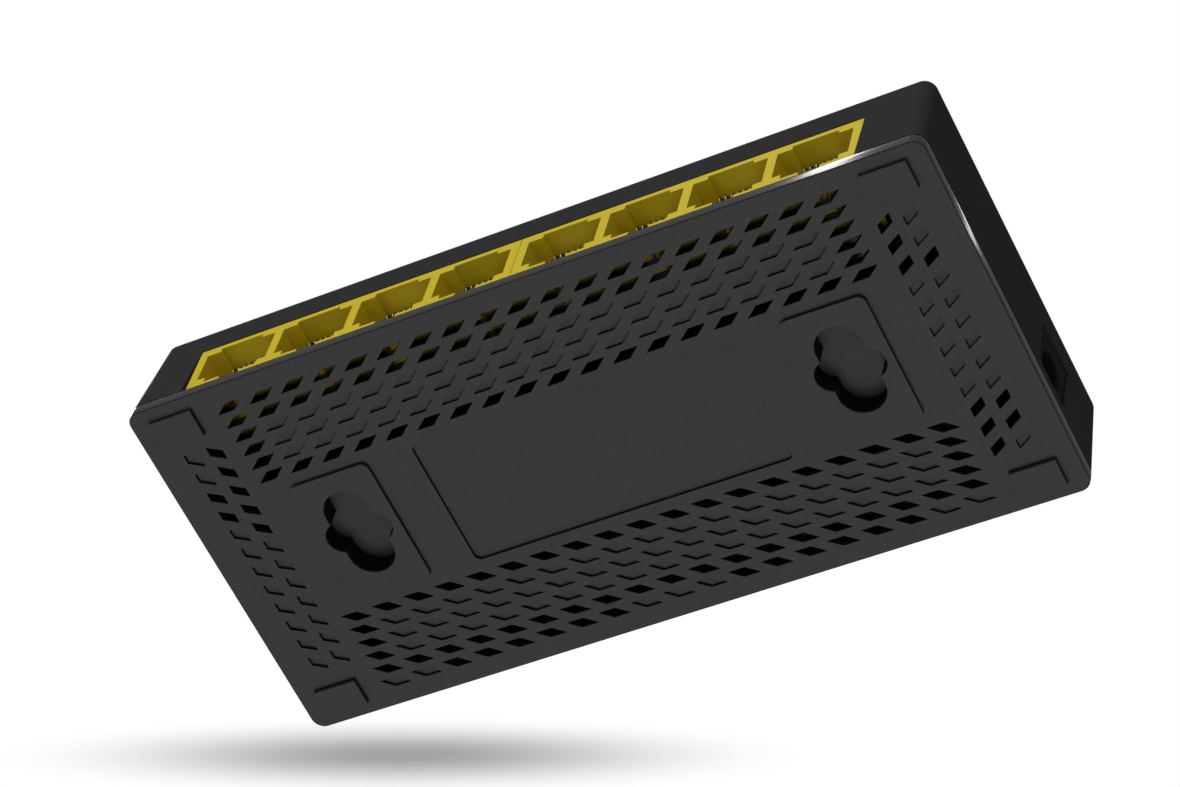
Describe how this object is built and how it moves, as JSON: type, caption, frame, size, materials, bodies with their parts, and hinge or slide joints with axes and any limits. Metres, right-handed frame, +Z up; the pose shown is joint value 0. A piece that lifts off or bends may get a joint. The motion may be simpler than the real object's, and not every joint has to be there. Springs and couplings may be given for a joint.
{
  "type": "ethernet switch",
  "caption": "Small desktop ethernet switch in a dark snap-fit plastic case, with a row of yellow network sockets, a round power socket and a vented base with keyholes.",
  "frame": {"origin": "middle of the case's plan at the bottom of the feet", "axes": "+X along the case towards the power socket, -Y out of the network sockets, +Z up to the cover"},
  "size_m": [0.1354, 0.0638, 0.0222],
  "materials": {
    "case_plastic": "fine spark texture, dark grey",
    "socket_plastic": "yellow moulding, satin",
    "carrier_plastic": "black insert, satin",
    "jack_plastic": "black moulding, satin",
    "chip_plastic": "black moulded package",
    "board": "green solder mask",
    "contact_metal": "gold plated spring contacts",
    "pin_metal": "nickel plated",
    "steel": "zinc plated",
    "can_metal": "drawn can",
    "sink_metal": "extruded, plain",
    "pad": "soft thermal pad",
    "lamp": "lamp in clear resin",
    "clear_plastic": "clear moulding",
    "ceramic": "fired ceramic with tinned ends"
  },
  "bodies": {
    "root": {"board_screws": "steel", "bottom_cover": "case_plastic", "capacitor_1": "can_metal", "capacitor_2": "can_metal", "chip_capacitors": "ceramic", "circuit_board": "board", "config_memory": "chip_plastic", "contact_carrier_1": "carrier_plastic", "contact_carrier_2": "carrier_plastic", "contact_carrier_3": "carrier_plastic", "contact_carrier_4": "carrier_plastic", "contact_carrier_5": "carrier_plastic", "contact_carrier_6": "carrier_plastic", "contact_carrier_7": "carrier_plastic", "contact_carrier_8": "carrier_plastic", "contact_wires_1": "contact_metal", "contact_wires_2": "contact_metal", "contact_wires_3": "contact_metal", "contact_wires_4": "contact_metal", "contact_wires_5": "contact_metal", "contact_wires_6": "contact_metal", "contact_wires_7": "contact_metal", "contact_wires_8": "contact_metal", "crystal": "can_metal", "dc_jack_body": "jack_plastic", "dc_jack_pin": "pin_metal", "dc_jack_spring": "pin_metal", "diode": "chip_plastic", "fuse": "ceramic", "heat_sink": "sink_metal", "inductor": "chip_plastic", "led_1": "lamp", "led_2": "lamp", "led_3": "lamp", "led_4": "lamp", "led_5": "lamp", "led_6": "lamp", "led_7": "lamp", "led_8": "lamp", "led_9": "lamp", "light_pipe": "clear_plastic", "port_block_left": "socket_plastic", "port_block_right": "socket_plastic", "regulator_chip": "chip_plastic", "switch_chip": "chip_plastic", "thermal_pad": "pad", "top_cover": "case_plastic", "transformer_1": "chip_plastic", "transformer_2": "chip_plastic", "transformer_3": "chip_plastic", "transformer_4": "chip_plastic"}
  },
  "joints": []
}
